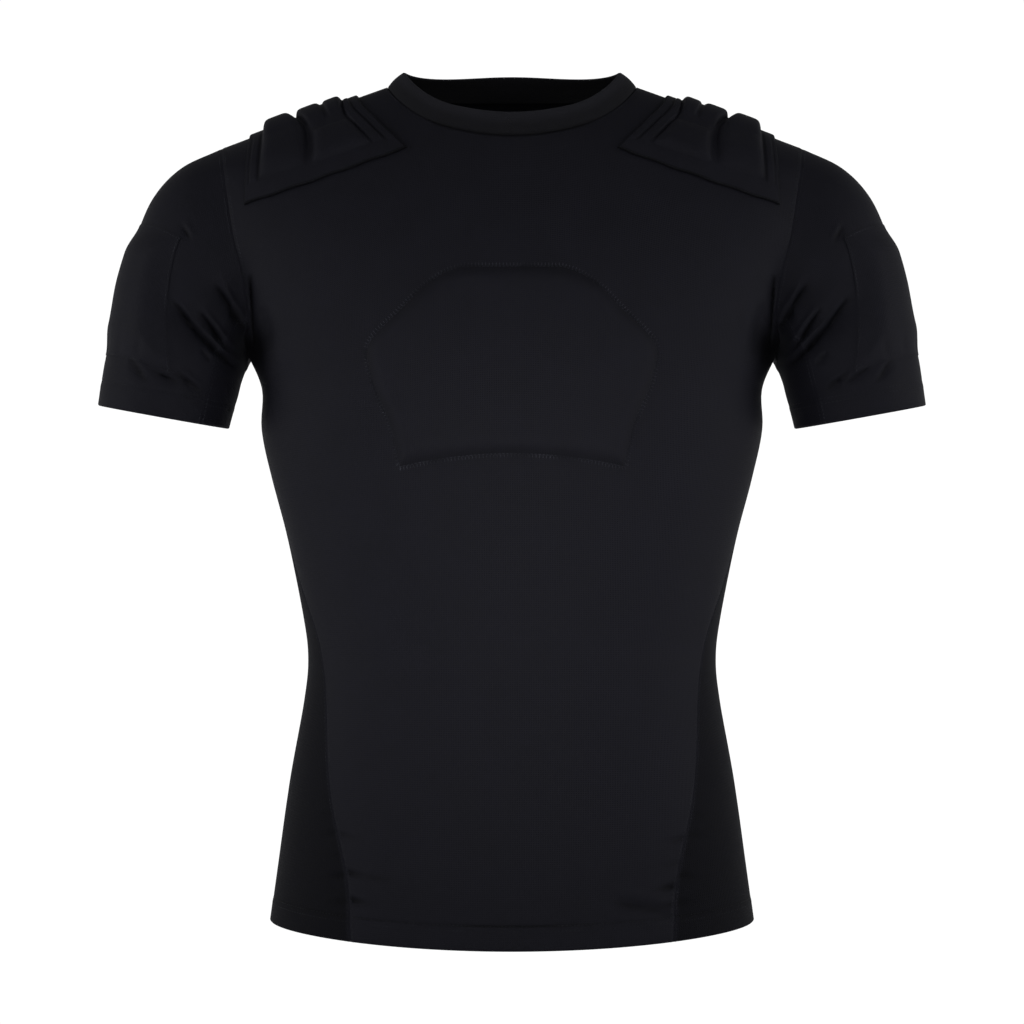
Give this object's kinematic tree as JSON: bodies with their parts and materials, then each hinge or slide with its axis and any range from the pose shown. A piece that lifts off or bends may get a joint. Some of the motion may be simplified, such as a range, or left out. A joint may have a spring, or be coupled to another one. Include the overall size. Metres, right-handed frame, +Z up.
{
  "type": "padded short-sleeved rugby top",
  "caption": "Hollow, close-fitting short-sleeved rugby top in black stretch knit, in its worn form, with chest, shoulder and upper-arm pads and a crew collar.",
  "frame": {"origin": "between the shoulders, in the plane of the shoulder seams and just below the side of the neck opening, where the wearer holds the garment up", "axes": "+Z up along the body, -Y out of the front, +X to the viewer's right as the front is seen"},
  "size_m": [0.6428, 0.2503, 0.6716],
  "materials": {
    "body_knit": "smooth black stretch knit with a faint sheen",
    "side_knit": "matt black open-faced stretch knit",
    "collar_knit": "matt black doubled knit band",
    "pad_knit": "black stretch knit drawn over foam"
  },
  "bodies": {
    "root": {"front": "body_knit", "back": "body_knit", "side_left": "side_knit", "side_right": "side_knit", "sleeve_left": "body_knit", "sleeve_right": "body_knit", "gusset_left": "side_knit", "gusset_right": "side_knit", "collar": "collar_knit", "chest_pad": "pad_knit", "shoulder_pad_left": "pad_knit", "shoulder_pad_right": "pad_knit", "biceps_pad_left": "pad_knit", "biceps_pad_right": "pad_knit"}
  },
  "joints": []
}
